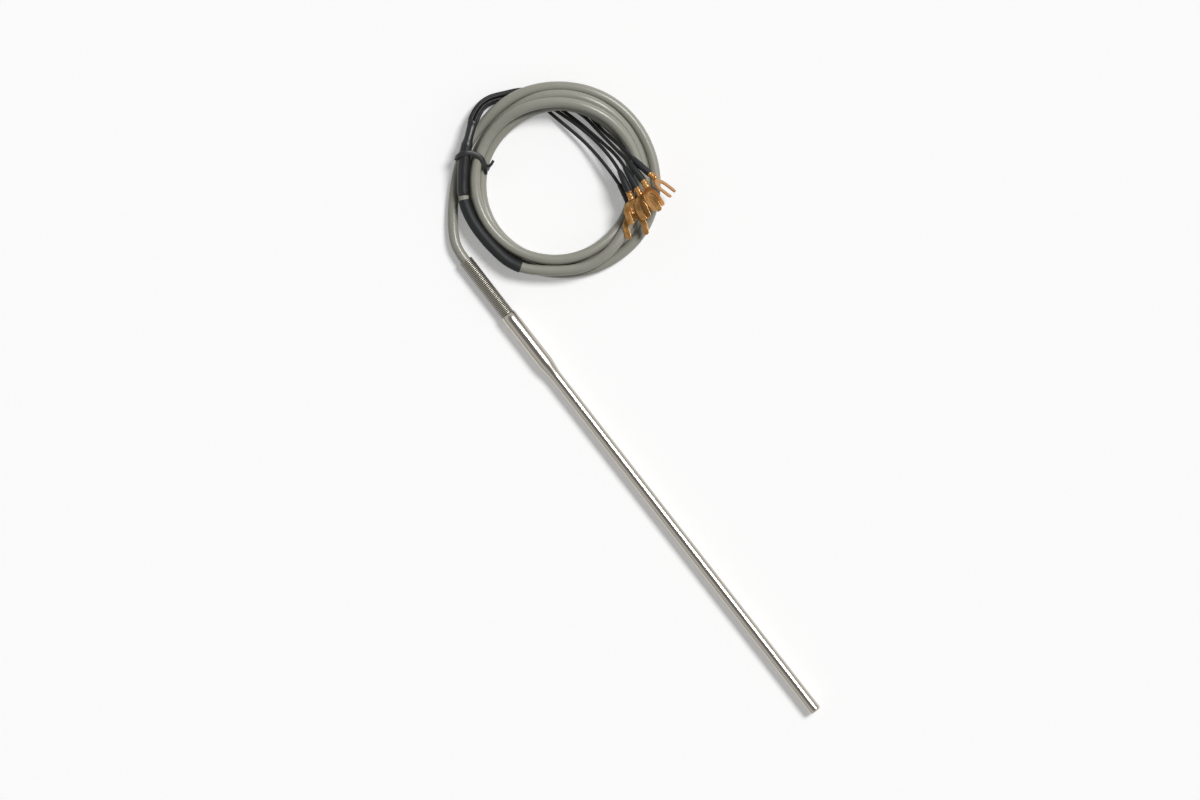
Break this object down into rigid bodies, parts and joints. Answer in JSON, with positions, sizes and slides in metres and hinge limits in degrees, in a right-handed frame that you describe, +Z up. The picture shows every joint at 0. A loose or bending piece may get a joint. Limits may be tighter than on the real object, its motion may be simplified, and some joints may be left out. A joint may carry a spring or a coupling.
{
  "type": "thermistor probe",
  "caption": "Straight steel immersion probe with a swaged thin stem, a spring strain relief and a tied coil of grey cable whose black leads end in copper spade lugs.",
  "frame": {"origin": "on the table, under the middle of the sheath and spring together", "axes": "+X along the sheath towards its closed tip, +Z up from the table"},
  "size_m": [0.3315, 0.112, 0.0209],
  "materials": {
    "steel_sheath": "satin",
    "spring_steel": "bright drawn wire",
    "cable_jacket": "semi-matte",
    "black_sleeve": "matte heat-shrink",
    "black_insulation": "soft sheen",
    "copper_lug": "bright stamped",
    "tie_band": "matte",
    "bead_glass": "clear",
    "potting": "cast",
    "liner": "waxy",
    "core_insulation": "smooth",
    "tinned_wire": "bright"
  },
  "bodies": {
    "root": {"probe_sheath": "steel_sheath", "strain_relief_spring": "spring_steel", "cable_stub": "cable_jacket", "cable_lead_in": "cable_jacket", "cable_coil": "cable_jacket", "cable_tail": "cable_jacket", "label_sleeve": "black_sleeve", "breakout_sleeve": "black_sleeve", "coil_tie": "tie_band", "thermistor_bead": "bead_glass", "bead_leads": "tinned_wire", "lead_splices": "tinned_wire", "tip_filler": "potting", "core_liner": "liner", "rear_seal": "potting", "core_wire_1": "core_insulation", "core_wire_2": "core_insulation", "core_wire_3": "core_insulation", "core_wire_4": "core_insulation", "lead_wire_1": "black_insulation", "lug_sleeve_1": "black_sleeve", "spade_lug_1": "copper_lug", "lead_wire_2": "black_insulation", "lug_sleeve_2": "black_sleeve", "spade_lug_2": "copper_lug", "lead_wire_3": "black_insulation", "lug_sleeve_3": "black_sleeve", "spade_lug_3": "copper_lug", "lead_wire_4": "black_insulation", "lug_sleeve_4": "black_sleeve", "spade_lug_4": "copper_lug", "lead_wire_5": "black_insulation", "lug_sleeve_5": "black_sleeve", "spade_lug_5": "copper_lug"}
  },
  "joints": []
}
